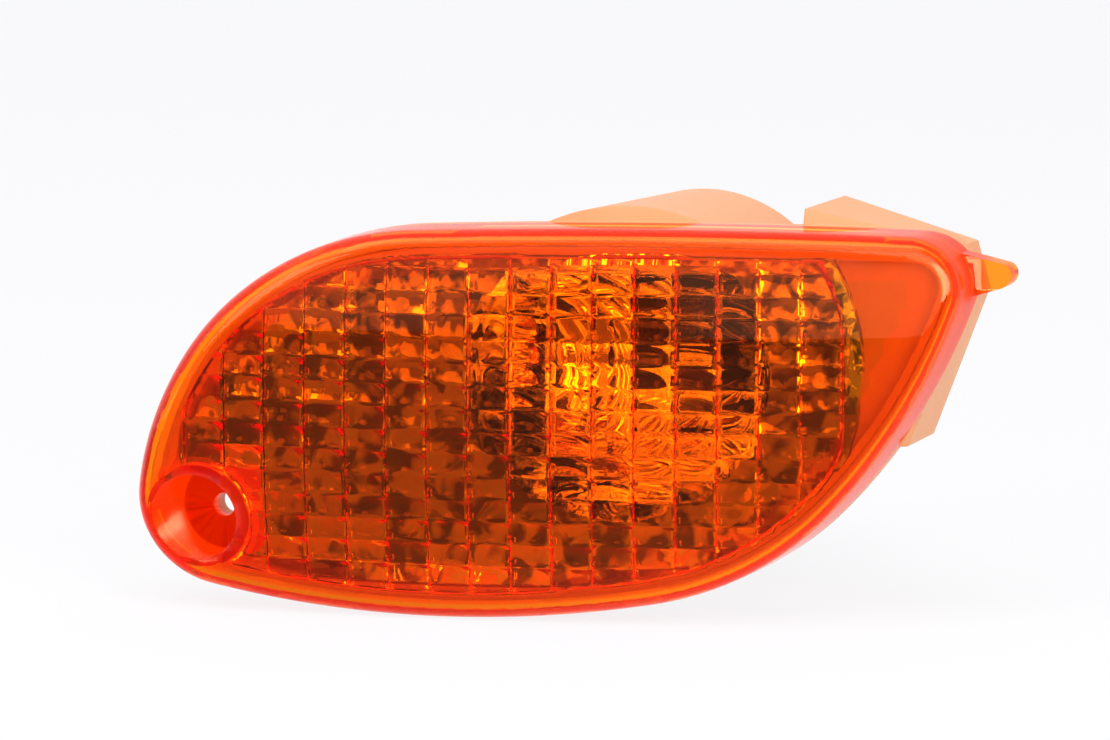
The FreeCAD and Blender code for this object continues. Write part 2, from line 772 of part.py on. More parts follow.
# Bulb holder: a socket with a flange and grip wings, and a shroud for the plug.
FLANGE_FRONT = "(dim.pot_back + dim.collar_height + dim.socket_gap + dim.face_seal_thickness)"
FLANGE_BACK = "(" + FLANGE_FRONT + " + dim.flange_thickness)"
PARTITION_BACK = "(dim.partition_front + dim.partition_thickness)"


def build_holder():
    core = turned_body("holder_core", (
        ("dim.socket_bore", "dim.socket_front"), ("dim.socket_radius", "dim.socket_front"),
        ("dim.socket_radius", FLANGE_FRONT), ("dim.flange_radius", FLANGE_FRONT),
        ("dim.flange_radius", FLANGE_BACK), ("dim.back_radius", FLANGE_BACK),
        ("dim.back_radius", PARTITION_BACK), ("0", PARTITION_BACK),
        ("0", "dim.partition_front"), ("dim.socket_bore", "dim.partition_front")))
    inner_face = size("pot_back") - size("housing_wall")
    lug_back = inner_face - size("socket_gap")
    lugs = doc.addObject("Part::Feature", "holder_lugs")
    ring = lug_ring(size("socket_radius") + size("lug_reach"), lug_back - size("lug_height"),
                    lug_back, size("lug_span"), 0)
    lugs.Shape = ring.cut(bulb_cylinder(size("socket_bore") + size("housing_wall"), FAR_FRONT, FAR_BACK))
    wings = box("holder_wings", ("-dim.wing_reach", FLANGE_BACK, "-dim.wing_thickness / 2"),
                ("2 * dim.wing_reach", PARTITION_BACK + " - " + FLANGE_BACK, "dim.wing_thickness"))
    wing_bore = rod("holder_wing_bore", "dim.socket_bore", FLANGE_BACK,
                    "dim.partition_front - " + FLANGE_BACK)
    shroud = box("plug_shroud",
                 ("-dim.shroud_width / 2", "dim.partition_front", "-dim.shroud_height / 2"),
                 ("dim.shroud_width", "dim.shroud_end - dim.partition_front", "dim.shroud_height"))
    cavity = box("plug_cavity",
                 ("-dim.shroud_width / 2 + dim.shroud_wall", PARTITION_BACK,
                  "-dim.shroud_height / 2 + dim.shroud_wall"),
                 ("dim.shroud_width - 2 * dim.shroud_wall", "dim.shroud_end - dim.partition_front",
                  "dim.shroud_height - 2 * dim.shroud_wall"))
    slots = []
    for name, side in (("live_slot", "-1"), ("earth_slot", "1")):
        slots.append(box(name,
                         (side + " * dim.blade_offset - dim.blade_thickness / 2 - dim.blade_gap",
                          "dim.partition_front - dim.partition_thickness",
                          "-dim.blade_width / 2 - dim.blade_gap"),
                         ("dim.blade_thickness + 2 * dim.blade_gap", "3 * dim.partition_thickness",
                          "dim.blade_width + 2 * dim.blade_gap")))
    solid = fuse("holder_solid", [core, lugs, cut("holder_grip", wings, wing_bore), shroud])
    keep("bulb_holder", cut("holder", solid, fuse("holder_cuts", [cavity] + slots)))

    keep("holder_seal", turned_body("holder_seal", (
        ("dim.face_seal_inner", FLANGE_FRONT + " - dim.face_seal_thickness"),
        ("dim.face_seal_outer", FLANGE_FRONT + " - dim.face_seal_thickness"),
        ("dim.face_seal_outer", FLANGE_FRONT), ("dim.face_seal_inner", FLANGE_FRONT))))


# Contacts: the earth sleeve and the live leaf, each in one piece with its blade.
LEAF_FRONT = "(dim.cap_end + dim.contact_height + dim.blade_gap)"


def blade(label, side):
    start = side + " * dim.blade_offset - dim.blade_thickness / 2"
    return box(label, (start, LEAF_FRONT, "-dim.blade_width / 2"),
               ("dim.blade_thickness", "dim.blade_end - " + LEAF_FRONT, "dim.blade_width"))


def build_contacts():
    leaf = box("live_leaf",
               ("-dim.blade_offset - dim.blade_thickness / 2", LEAF_FRONT, "-dim.leaf_width / 2"),
               ("dim.blade_offset + dim.contact_radius", "dim.blade_thickness", "dim.leaf_width"))
    keep("contact_live", fuse("live", [leaf, blade("live_blade", "-1")]))

    outer = "dim.sleeve_inner + dim.sleeve_wall"
    sleeve = turned_body("earth_sleeve", (
        ("dim.sleeve_inner", "dim.sleeve_front"), (outer, "dim.sleeve_front"),
        (outer, "dim.sleeve_back"), ("dim.sleeve_inner", "dim.sleeve_back")))
    slotted = cut("slotted_sleeve", sleeve, bayonet_slots())
    leaf_back = LEAF_FRONT + " + dim.blade_thickness"
    tail = turned_body("earth_tail", (
        ("dim.sleeve_inner", "dim.sleeve_back"), (outer, "dim.sleeve_back"),
        (outer, leaf_back), ("dim.sleeve_inner", leaf_back)))
    strip = box("earth_strip", ("0", "dim.sleeve_back", "-dim.leaf_width / 2"),
                (outer, leaf_back + " - dim.sleeve_back", "dim.leaf_width"))
    bridge = box("earth_bridge",
                 ("dim.blade_offset - dim.blade_thickness / 2", LEAF_FRONT, "-dim.leaf_width / 2"),
                 ("dim.sleeve_inner + dim.sleeve_wall / 2 - dim.blade_offset + dim.blade_thickness / 2",
                  "dim.blade_thickness", "dim.leaf_width"))
    keep("contact_earth", fuse("earth", [slotted, common("earth_lead", tail, strip), bridge,
                                         blade("earth_blade", "1")]))


def bayonet_slots():
    """Two J-shaped slots: straight in from the front, then a part turn to the pin."""
    width = size("slot_width")
    seat = size("filament_y") + size("light_centre")
    reach = size("sleeve_inner") + 2 * size("sleeve_wall")
    front = size("sleeve_front") - width
    pieces = []
    for half_turn in (0, 180):
        entry = Part.makeBox(reach, seat + width / 2 - front, width, Vector(0, front, -width / 2))
        entry.rotate(Vector(), REAR, half_turn + size("slot_turn"))
        seat_slot = Part.makeBox(reach, width, width, Vector(0, seat - width / 2, -width / 2))
        seat_slot.rotate(Vector(), REAR, half_turn)
        turn = Part.makeCylinder(reach, width, Vector(0, seat - width / 2, 0), REAR, size("slot_turn"))
        turn.rotate(Vector(), REAR, half_turn)
        pieces += [entry, seat_slot, turn]
    slots = doc.addObject("Part::Feature", "bayonet_slots")
    slots.Shape = pieces[0].fuse(pieces[1:])
    on_bulb_axis(slots)
    return slots


# Breather: a rubber cap over the spigot on the back of the pot.
def build_breather():
    inner = "dim.breather_spigot + dim.seam"
    outer = inner + " + dim.breather_wall"
    front = "dim.pot_back + dim.seam"
    end = "dim.pot_back + dim.breather_length + dim.breather_end"
    cap = turned_body("breather_cap", (
        (inner, front), (outer, front), (outer, end + " + dim.breather_wall"),
        ("0", end + " + dim.breather_wall"), ("0", end), (inner, end)))
    cap.setExpression("Placement.Base.z", "dim.bulb_z - dim.breather_drop")
    keep("breather_cap", cap)


build_lens()
build_seal()
build_housing()
build_reflector()
build_bulb()
build_holder()
build_contacts()
build_breather()
doc.recompute()

for item in doc.Objects:
    if "Invalid" in item.State or "Error" in item.State:
        raise RuntimeError("%s did not rebuild: %s" % (item.Name, item.State))
for label, item in parts.items():
    if item.Shape.isNull() or not item.Shape.isValid():
        raise RuntimeError("%s has no valid shape" % label)

os.makedirs("parts", exist_ok=True)
for label, item in parts.items():
    item.Shape.exportStep("parts/%s.step" % label)
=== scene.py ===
import math

import bmesh
import bpy
from mathutils import Matrix, Vector
from mathutils.kdtree import KDTree


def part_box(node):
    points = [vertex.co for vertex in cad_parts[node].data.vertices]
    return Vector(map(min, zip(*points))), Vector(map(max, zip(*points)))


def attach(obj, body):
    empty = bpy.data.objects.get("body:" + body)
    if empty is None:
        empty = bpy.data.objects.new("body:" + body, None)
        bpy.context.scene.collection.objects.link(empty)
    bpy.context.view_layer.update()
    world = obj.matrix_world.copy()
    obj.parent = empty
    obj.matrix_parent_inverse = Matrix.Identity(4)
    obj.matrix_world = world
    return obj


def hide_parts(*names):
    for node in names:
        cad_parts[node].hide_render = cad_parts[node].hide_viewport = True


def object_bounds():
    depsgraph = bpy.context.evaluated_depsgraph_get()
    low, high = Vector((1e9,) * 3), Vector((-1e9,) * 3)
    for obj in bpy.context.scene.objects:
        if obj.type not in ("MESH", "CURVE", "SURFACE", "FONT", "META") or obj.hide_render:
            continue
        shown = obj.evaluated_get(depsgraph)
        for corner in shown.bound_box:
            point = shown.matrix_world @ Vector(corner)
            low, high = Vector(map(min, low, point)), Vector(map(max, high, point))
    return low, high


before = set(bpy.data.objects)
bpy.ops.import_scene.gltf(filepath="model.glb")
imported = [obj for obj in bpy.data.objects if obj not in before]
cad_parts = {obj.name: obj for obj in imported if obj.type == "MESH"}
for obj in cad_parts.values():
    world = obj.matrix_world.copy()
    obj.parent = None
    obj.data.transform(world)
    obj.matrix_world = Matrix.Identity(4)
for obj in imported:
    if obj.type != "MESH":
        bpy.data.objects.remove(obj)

cad_low, cad_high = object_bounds()

# Housing: one moulding of salmon thermoplastic, with a tray behind the lens, a pot
# for the bulb, a tower at the outboard end and an ear for the fixing screw.
# It comes from a spark-eroded tool, so its skin has a fine even grain.
grain_strength = 0.35
arris_radius = 0.0005


def new_finish(name):
    finish = bpy.data.materials.new(name)
    finish.use_nodes = True
    tree = finish.node_tree
    return finish, tree, tree.nodes["Principled BSDF"]


def add_node(tree, kind, **values):
    node = tree.nodes.new(kind)
    for key, value in values.items():
        setattr(node, key, value)
    return node


def moulded_skin_group():
    """Tool grain as a height, and slow flow variation of the melt as a mask."""
    group = bpy.data.node_groups.new("moulded_skin", "ShaderNodeTree")
    face = group.interface
    face.new_socket("Grain Scale", in_out="INPUT", socket_type="NodeSocketFloat")
    face.new_socket("Flow Scale", in_out="INPUT", socket_type="NodeSocketFloat")
    face.new_socket("Grain", in_out="OUTPUT", socket_type="NodeSocketFloat")
    face.new_socket("Flow", in_out="OUTPUT", socket_type="NodeSocketFloat")
    given = add_node(group, "NodeGroupInput")
    place = add_node(group, "ShaderNodeTexCoord")
    grain = add_node(group, "ShaderNodeTexNoise")
    grain.inputs["Detail"].default_value = 3.0
    flow = add_node(group, "ShaderNodeTexNoise")
    flow.inputs["Detail"].default_value = 2.0
    flow.inputs["Distortion"].default_value = 0.8
    out = add_node(group, "NodeGroupOutput")
    for texture, scale in ((grain, "Grain Scale"), (flow, "Flow Scale")):
        group.links.new(place.outputs["Object"], texture.inputs["Vector"])
        group.links.new(given.outputs[scale], texture.inputs["Scale"])
    group.links.new(grain.outputs["Fac"], out.inputs["Grain"])
    group.links.new(flow.outputs["Fac"], out.inputs["Flow"])
    return group


moulded_skin = moulded_skin_group()


def moulded_finish(name, dark, light, rough, grain_scale, flow_scale, depth):
    """A plastic or rubber whose colour drifts with the flow and whose skin is grained."""
    finish, tree, shader = new_finish(name)
    skin = add_node(tree, "ShaderNodeGroup", node_tree=moulded_skin)
    skin.inputs["Grain Scale"].default_value = grain_scale
    skin.inputs["Flow Scale"].default_value = flow_scale
    tone = add_node(tree, "ShaderNodeMix", data_type="RGBA")
    tone.inputs["A"].default_value = (*dark, 1.0)
    tone.inputs["B"].default_value = (*light, 1.0)
    tree.links.new(skin.outputs["Flow"], tone.inputs["Factor"])
    tree.links.new(tone.outputs["Result"], shader.inputs["Base Color"])
    gloss = add_node(tree, "ShaderNodeMapRange")
    gloss.inputs["To Min"].default_value = rough[0]
    gloss.inputs["To Max"].default_value = rough[1]
    tree.links.new(skin.outputs["Grain"], gloss.inputs["Value"])
    tree.links.new(gloss.outputs["Result"], shader.inputs["Roughness"])
    bump = add_node(tree, "ShaderNodeBump")
    bump.inputs["Strength"].default_value = grain_strength
    bump.inputs["Distance"].default_value = depth
    tree.links.new(skin.outputs["Grain"], bump.inputs["Height"])
    arris = add_node(tree, "ShaderNodeBevel", samples=4)
    arris.inputs["Radius"].default_value = arris_radius
    tree.links.new(arris.outputs["Normal"], bump.inputs["Normal"])
    tree.links.new(bump.outputs["Normal"], shader.inputs["Normal"])
    return finish


def dress(name, finish):
    """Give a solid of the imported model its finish."""
    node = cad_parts[name]
    node.data.materials.clear()
    node.data.materials.append(finish)
    return node


housing_plastic = moulded_finish(
    "housing_plastic", dark=(0.82, 0.33, 0.13), light=(0.88, 0.41, 0.19), rough=(0.34, 0.50),
    grain_scale=900.0, flow_scale=22.0, depth=0.00012)
dress("housing", housing_plastic)

# Reflector: a thin moulding with a vacuum-metallised face, seated in the pot.
# Vertical flutes across the bowl spread the light of the bulb sideways, and the
# flange round it is rippled and darkened in random patches, a painted shade that
# stands in for the dark reflections of the ripples.
flute_pitch = 0.0024
flute_wander = 0.5
ripple_scale = 260.0
ripple_height = 1.3
bowl_reach = 0.026
relief_strength = 0.75
relief_depth = 0.0006
painted_shade_coat = (0.26, 0.25, 0.24, 1.0)
full_coat = (0.97, 0.97, 0.96, 1.0)
shade_from, shade_to = 0.42, 0.56
mirror_roughness = 0.06
metallising, tree, shader = new_finish("metallising")
skin = add_node(tree, "ShaderNodeGroup", node_tree=moulded_skin)
skin.inputs["Grain Scale"].default_value = 420.0
skin.inputs["Flow Scale"].default_value = 190.0
# Painted shade: random patches of the flange turn a dark grey, where the bowl stays a full mirror.
painted_shade_patches = add_node(tree, "ShaderNodeMapRange", interpolation_type="SMOOTHSTEP")
painted_shade_patches.inputs["From Min"].default_value = shade_from
painted_shade_patches.inputs["From Max"].default_value = shade_to
tree.links.new(skin.outputs["Flow"], painted_shade_patches.inputs["Value"])
tone = add_node(tree, "ShaderNodeMix", data_type="RGBA")
tone.inputs["A"].default_value = painted_shade_coat
tone.inputs["B"].default_value = full_coat
tree.links.new(tone.outputs["Result"], shader.inputs["Base Color"])
shader.inputs["Metallic"].default_value = 1.0
shader.inputs["Roughness"].default_value = mirror_roughness
place = add_node(tree, "ShaderNodeTexCoord")


def wave_relief(tree, place, direction, pitch, wander):
    """A row of rounded ridges across one direction, one to each pitch."""
    ridges = add_node(tree, "ShaderNodeTexWave", bands_direction=direction, wave_profile="SIN")
    ridges.inputs["Scale"].default_value = math.pi / 10 / pitch
    ridges.inputs["Distortion"].default_value = wander
    ridges.inputs["Detail Scale"].default_value = 2.0
    tree.links.new(place.outputs["Object"], ridges.inputs["Vector"])
    return ridges.outputs["Fac"]


filament_low, filament_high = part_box("filament")
bulb_axis = (filament_low + filament_high) / 2
flutes = wave_relief(tree, place, "X", flute_pitch, flute_wander)
ripple = add_node(tree, "ShaderNodeTexNoise")
ripple.inputs["Scale"].default_value = ripple_scale
ripple.inputs["Detail"].default_value = 1.0
tree.links.new(place.outputs["Object"], ripple.inputs["Vector"])
ripples = add_node(tree, "ShaderNodeMath", operation="MULTIPLY")
ripples.inputs[1].default_value = ripple_height
tree.links.new(ripple.outputs["Fac"], ripples.inputs[0])
offset = add_node(tree, "ShaderNodeVectorMath", operation="SUBTRACT")
offset.inputs[1].default_value = bulb_axis
tree.links.new(place.outputs["Object"], offset.inputs[0])
across = add_node(tree, "ShaderNodeVectorMath", operation="MULTIPLY")
across.inputs[1].default_value = (1.0, 0.0, 1.0)
tree.links.new(offset.outputs["Vector"], across.inputs[0])
spread = add_node(tree, "ShaderNodeVectorMath", operation="LENGTH")
tree.links.new(across.outputs["Vector"], spread.inputs[0])
flange = add_node(tree, "ShaderNodeMath", operation="GREATER_THAN")
flange.inputs[1].default_value = bowl_reach
tree.links.new(spread.outputs["Value"], flange.inputs[0])
bright = add_node(tree, "ShaderNodeMath", operation="SUBTRACT")
bright.inputs[0].default_value = 1.0
tree.links.new(flange.outputs[0], bright.inputs[1])
unshaded = add_node(tree, "ShaderNodeMath", operation="MAXIMUM")
tree.links.new(bright.outputs[0], unshaded.inputs[0])
tree.links.new(painted_shade_patches.outputs["Result"], unshaded.inputs[1])
tree.links.new(unshaded.outputs[0], tone.inputs["Factor"])
relief = add_node(tree, "ShaderNodeMix", data_type="FLOAT")
tree.links.new(flange.outputs[0], relief.inputs["Factor"])
tree.links.new(flutes, relief.inputs["A"])
tree.links.new(ripples.outputs[0], relief.inputs["B"])
bump = add_node(tree, "ShaderNodeBump")
bump.inputs["Strength"].default_value = relief_strength
bump.inputs["Distance"].default_value = relief_depth
tree.links.new(relief.outputs["Result"], bump.inputs["Height"])
tree.links.new(bump.outputs["Normal"], shader.inputs["Normal"])
dress("reflector", metallising)

# Seals: a bead of pale silicone, squeezed out between the skirt of the lens and the
# housing. The ring under the flange of the holder and the cap that shields the
# breather are black moulded rubber, each pushed into its place.
seal_rubber = moulded_finish(
    "seal_rubber", dark=(0.012, 0.012, 0.013), light=(0.030, 0.030, 0.031), rough=(0.55, 0.75),
    grain_scale=1400.0, flow_scale=60.0, depth=0.0001)
for name in ("holder_seal", "breather_cap"):
    dress(name, seal_rubber)
lens_sealant = moulded_finish(
    "lens_sealant", dark=(0.80, 0.50, 0.38), light=(0.88, 0.60, 0.48), rough=(0.30, 0.45),
    grain_scale=700.0, flow_scale=50.0, depth=0.0001)
dress("lens_seal", lens_sealant)

# Bulb holder: one moulding of black glass-filled nylon, with a shroud for the plug.
# It is pushed into the collar of the pot and locked by a turn of its lugs.
holder_plastic = moulded_finish(
    "holder_plastic", dark=(0.030, 0.030, 0.031), light=(0.060, 0.060, 0.061), rough=(0.38, 0.58),
    grain_scale=1100.0, flow_scale=45.0, depth=0.00015)
dress("bulb_holder", holder_plastic)


# Contacts and cap: pressed brass strips clipped into the holder, and the nickelled
# cap of the bulb with its drawn lead wires. The foot of the cap is closed by black
# fused glass, with a drop of solder in its middle.
def metal_finish(name, dark, light, rough, scale):
    """A bare metal whose tone and gloss vary a little over the strip."""
    finish, tree, shader = new_finish(name)
    skin = add_node(tree, "ShaderNodeGroup", node_tree=moulded_skin)
    skin.inputs["Grain Scale"].default_value = scale
    skin.inputs["Flow Scale"].default_value = scale / 8
    tone = add_node(tree, "ShaderNodeMix", data_type="RGBA")
    tone.inputs["A"].default_value = (*dark, 1.0)
    tone.inputs["B"].default_value = (*light, 1.0)
    tree.links.new(skin.outputs["Flow"], tone.inputs["Factor"])
    tree.links.new(tone.outputs["Result"], shader.inputs["Base Color"])
    shader.inputs["Metallic"].default_value = 1.0
    gloss = add_node(tree, "ShaderNodeMapRange")
    gloss.inputs["To Min"].default_value = rough[0]
    gloss.inputs["To Max"].default_value = rough[1]
    tree.links.new(skin.outputs["Grain"], gloss.inputs["Value"])
    tree.links.new(gloss.outputs["Result"], shader.inputs["Roughness"])
    return finish


brass = metal_finish("contact_brass", (0.62, 0.40, 0.14), (0.78, 0.55, 0.24), (0.18, 0.42), 700.0)
nickel = metal_finish("cap_nickel", (0.56, 0.53, 0.48), (0.72, 0.69, 0.64), (0.16, 0.36), 600.0)
tungsten = metal_finish("tungsten", (0.22, 0.22, 0.23), (0.36, 0.36, 0.37), (0.30, 0.50), 2000.0)
solder = metal_finish("solder", (0.50, 0.50, 0.51), (0.66, 0.66, 0.66), (0.22, 0.40), 900.0)
for name, finish in (("contact_live", brass), ("contact_earth", brass), ("bulb_cap", nickel),
                     ("lead_wires", tungsten), ("centre_contact", solder)):
    dress(name, finish)
cap_glass = moulded_finish(
    "cap_glass_black", dark=(0.010, 0.009, 0.012), light=(0.022, 0.020, 0.026), rough=(0.08, 0.16),
    grain_scale=500.0, flow_scale=80.0, depth=0.00005)
dress("cap_insulator", cap_glass)


# Filament: a single coil of drawn tungsten wire, clamped in the hooks of the two
# lead wires across the bulb.
def coil_tree():
    """A helix along X, swept with a round wire."""
    tree = bpy.data.node_groups.new("filament_coil", "GeometryNodeTree")
    face = tree.interface
    face.new_socket("Geometry", in_out="OUTPUT", socket_type="NodeSocketGeometry")
    for name, kind in (("Turns", "Float"), ("Coil Radius", "Float"), ("Wire Radius", "Float"),
                       ("Length", "Float"), ("Place", "Vector")):
        face.new_socket(name, in_out="INPUT", socket_type="NodeSocket" + kind)
    face.new_socket("Finish", in_out="INPUT", socket_type="NodeSocketMaterial")
    given = add_node(tree, "NodeGroupInput")
    spiral = add_node(tree, "GeometryNodeCurveSpiral")
    spiral.inputs["Resolution"].default_value = 20
    tree.links.new(given.outputs["Turns"], spiral.inputs["Rotations"])
    tree.links.new(given.outputs["Length"], spiral.inputs["Height"])
    for end in ("Start Radius", "End Radius"):
        tree.links.new(given.outputs["Coil Radius"], spiral.inputs[end])
    laid = add_node(tree, "GeometryNodeTransform")
    laid.inputs["Rotation"].default_value = (0.0, math.pi / 2, 0.0)
    tree.links.new(spiral.outputs["Curve"], laid.inputs["Geometry"])
    tree.links.new(given.outputs["Place"], laid.inputs["Translation"])
    wire = add_node(tree, "GeometryNodeCurvePrimitiveCircle")
    wire.inputs["Resolution"].default_value = 8
    tree.links.new(given.outputs["Wire Radius"], wire.inputs["Radius"])
    swept = add_node(tree, "GeometryNodeCurveToMesh")
    swept.inputs["Fill Caps"].default_value = True
    tree.links.new(laid.outputs["Geometry"], swept.inputs["Curve"])
    tree.links.new(wire.outputs["Curve"], swept.inputs["Profile Curve"])
    real = add_node(tree, "GeometryNodeRealizeInstances")
    tree.links.new(swept.outputs["Mesh"], real.inputs["Geometry"])
    finish = add_node(tree, "GeometryNodeSetMaterial")
    tree.links.new(real.outputs["Geometry"], finish.inputs["Geometry"])
    tree.links.new(given.outputs["Finish"], finish.inputs["Material"])
    out = add_node(tree, "NodeGroupOutput")
    tree.links.new(finish.outputs["Geometry"], out.inputs["Geometry"])
    return tree


def grown(name, tree, values):
    """The plain mesh that a tree of geometry nodes gives for these inputs."""
    seed = bpy.data.objects.new(name + "_seed", bpy.data.meshes.new(name + "_seed"))
    bpy.context.scene.collection.objects.link(seed)
    modifier = seed.modifiers.new("grow", "NODES")
    modifier.node_group = tree
    for socket in tree.interface.items_tree:
        if socket.in_out == "INPUT" and socket.name in values:
            modifier[socket.identifier] = values[socket.name]
    bpy.context.view_layer.update()
    graph = bpy.context.evaluated_depsgraph_get()
    mesh = bpy.data.meshes.new_from_object(seed.evaluated_get(graph), depsgraph=graph)
    bpy.data.objects.remove(seed)
    piece = bpy.data.objects.new(name, mesh)
    bpy.context.scene.collection.objects.link(piece)
    return piece


coil_turns = 15.0
wire_radius = 0.00011
coil_radius = (filament_high.z - filament_low.z) / 2 - wire_radius
coil = grown("filament_coil", coil_tree(), {
    "Turns": coil_turns, "Coil Radius": coil_radius, "Wire Radius": wire_radius,
    "Length": filament_high.x - filament_low.x, "Finish": tungsten,
    "Place": (filament_low.x, (filament_low.y + filament_high.y) / 2,
              (filament_low.z + filament_high.z) / 2)})
coil.data.shade_smooth()
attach(coil, "bulb_carrier")
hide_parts("filament")


# Bulb: a blown globe of clear soda-lime glass, fused at its neck to a pinched stem
# that holds the lead wires, and cemented into the cap.
def glass_finish(name, tints, rough, ior, absorb, density):
    """A clear or coloured solid that takes up light along its depth."""
    finish, tree, shader = new_finish(name)
    skin = add_node(tree, "ShaderNodeGroup", node_tree=moulded_skin)
    skin.inputs["Grain Scale"].default_value = 400.0
    skin.inputs["Flow Scale"].default_value = 30.0
    tone = add_node(tree, "ShaderNodeMix", data_type="RGBA", name="Tint")
    tone.inputs["A"].default_value = (*tints[0], 1.0)
    tone.inputs["B"].default_value = (*tints[1], 1.0)
    tree.links.new(skin.outputs["Flow"], tone.inputs["Factor"])
    tree.links.new(tone.outputs["Result"], shader.inputs["Base Color"])
    shader.inputs["Roughness"].default_value = rough
    shader.inputs["IOR"].default_value = ior
    shader.inputs["Transmission Weight"].default_value = 1.0
    body = add_node(tree, "ShaderNodeVolumeAbsorption")
    body.inputs["Color"].default_value = (*absorb, 1.0)
    body.inputs["Density"].default_value = density
    tree.links.new(body.outputs["Volume"], tree.nodes["Material Output"].inputs["Volume"])
    return finish


clear_glass = glass_finish(
    "bulb_glass", tints=((0.97, 0.98, 0.97), (1.0, 1.0, 1.0)), rough=0.0, ior=1.52,
    absorb=(0.9, 0.97, 0.95), density=20.0)
for name in ("bulb_glass", "bulb_stem"):
    dress(name, clear_glass)

# Lens: one moulding of amber acrylic with a polished front, its skirt bedded in the
# silicone round the tray. The inner face carries the block optics, rows of small
# pillows in stepped columns.
polish = 0.012
amber = glass_finish(
    "amber_acrylic", tints=((1.0, 0.62, 0.05), (1.0, 0.68, 0.07)), rough=polish, ior=1.49,
    absorb=(0.995, 0.875, 0.0), density=1200.0)
merge_distance = 1e-6
crease_angle = math.radians(28)
cad_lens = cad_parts["lens"]
shell = bmesh.new()
shell.from_mesh(cad_lens.data)
bmesh.ops.remove_doubles(shell, verts=shell.verts, dist=merge_distance)
lens_mesh = bpy.data.meshes.new("amber_lens")
shell.to_mesh(lens_mesh)
shell.free()
lens_mesh.shade_smooth()
lens_mesh.set_sharp_from_angle(angle=crease_angle)
lens_mesh.materials.clear()
lens_mesh.materials.append(amber)

# The skirt, well and tongue carry a painted glow and a painted deeper red, standing in for light
# piped through the wall and the long path through the amber; the same mask gives them a rougher
# grained face.
rim_reach = 0.0055
rim_share = 0.5
well_reach = 0.0125
front_facing = -0.75
painted_edge_shade = (1.0, 0.34, 0.02, 1.0)
edge_roughness = 0.22
painted_edge_glow = (0.22, 0.020, 0.0, 1.0)
no_glow = (0.0, 0.0, 0.0, 1.0)
tongue_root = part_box("housing")[1].x
seal_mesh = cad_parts["lens_seal"].data
rim_path = KDTree(len(seal_mesh.vertices))
for index, vertex in enumerate(seal_mesh.vertices):
    rim_path.insert((vertex.co.x, 0.0, vertex.co.z), index)
rim_path.balance()
painted_glow_and_grain_mask = lens_mesh.attributes.new("edge", "FLOAT", "FACE")
for face in lens_mesh.polygons:
    flat = Vector((face.center.x, 0.0, face.center.z))
    share = 0.0
    if face.normal.y > front_facing:
        if flat.length < well_reach or flat.x > tongue_root:
            share = 1.0
        elif rim_path.find(flat)[2] < rim_reach:
            share = rim_share
    painted_glow_and_grain_mask.data[face.index].value = share
tree = amber.node_tree
shader = tree.nodes["Principled BSDF"]
edge = add_node(tree, "ShaderNodeAttribute", attribute_name="edge")
tint = tree.nodes["Tint"]
# Painted shade: a deeper, redder base colour on the skirt, well and tongue.
painted_deep_shade = add_node(tree, "ShaderNodeMix", data_type="RGBA")
painted_deep_shade.inputs["B"].default_value = painted_edge_shade
tree.links.new(edge.outputs["Fac"], painted_deep_shade.inputs["Factor"])
tree.links.new(tint.outputs["Result"], painted_deep_shade.inputs["A"])
tree.links.new(painted_deep_shade.outputs["Result"], shader.inputs["Base Color"])
gloss = add_node(tree, "ShaderNodeMapRange")
gloss.inputs["To Min"].default_value = polish
gloss.inputs["To Max"].default_value = edge_roughness
tree.links.new(edge.outputs["Fac"], gloss.inputs["Value"])
tree.links.new(gloss.outputs["Result"], shader.inputs["Roughness"])
# Painted glow: emission on the skirt, well and tongue, though the lens is no lamp.
glow = add_node(tree, "ShaderNodeMix", data_type="RGBA")
glow.inputs["A"].default_value = no_glow
glow.inputs["B"].default_value = painted_edge_glow
tree.links.new(edge.outputs["Fac"], glow.inputs["Factor"])
tree.links.new(glow.outputs["Result"], shader.inputs["Emission Color"])
shader.inputs["Emission Strength"].default_value = 1.0
shader.inputs["Specular Tint"].default_value = (1.0, 0.50, 0.26, 1.0)
lens = bpy.data.objects.new("amber_lens", lens_mesh)
bpy.context.scene.collection.objects.link(lens)
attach(lens, "lamp_body")
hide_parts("lens")

# Studio: a pale paper floor that keeps the shadow and a white surround behind the
# lamp. A dimmer room in front of it, with a bright card at one side, is what the
# lens and the reflector mirror, and softboxes hang above and at both sides.
backdrop_white = (0.985, 0.985, 1.0, 1.0)
floor_front, floor_far = -2.0, 9.0
floor_glow = 0.86
dim_from, dim_to = -0.05, 0.03
dim_floor = 0.25
floor_mesh = bpy.data.meshes.new("floor")
corners = [(-floor_far, floor_front), (floor_far, floor_front),
           (floor_far, floor_far), (-floor_far, floor_far)]
floor_mesh.from_pydata([(x, y, cad_low.z) for x, y in corners], [], [(0, 1, 2, 3)])
floor = bpy.data.objects.new("floor", floor_mesh)
bpy.context.scene.collection.objects.link(floor)


def seen_directly(tree, path):
    """One for camera, glossy and transmitted rays that have met no matt surface."""
    total = path.outputs["Is Camera Ray"]
    for name in ("Is Glossy Ray", "Is Transmission Ray"):
        either = add_node(tree, "ShaderNodeMath", operation="MAXIMUM")
        tree.links.new(total, either.inputs[0])
        tree.links.new(path.outputs[name], either.inputs[1])
        total = either.outputs[0]
    unspread = add_node(tree, "ShaderNodeMath", operation="LESS_THAN")
    unspread.inputs[1].default_value = 0.5
    tree.links.new(path.outputs["Diffuse Depth"], unspread.inputs[0])
    direct = add_node(tree, "ShaderNodeMath", operation="MULTIPLY")
    tree.links.new(total, direct.inputs[0])
    tree.links.new(unspread.outputs[0], direct.inputs[1])
    return direct.outputs[0]


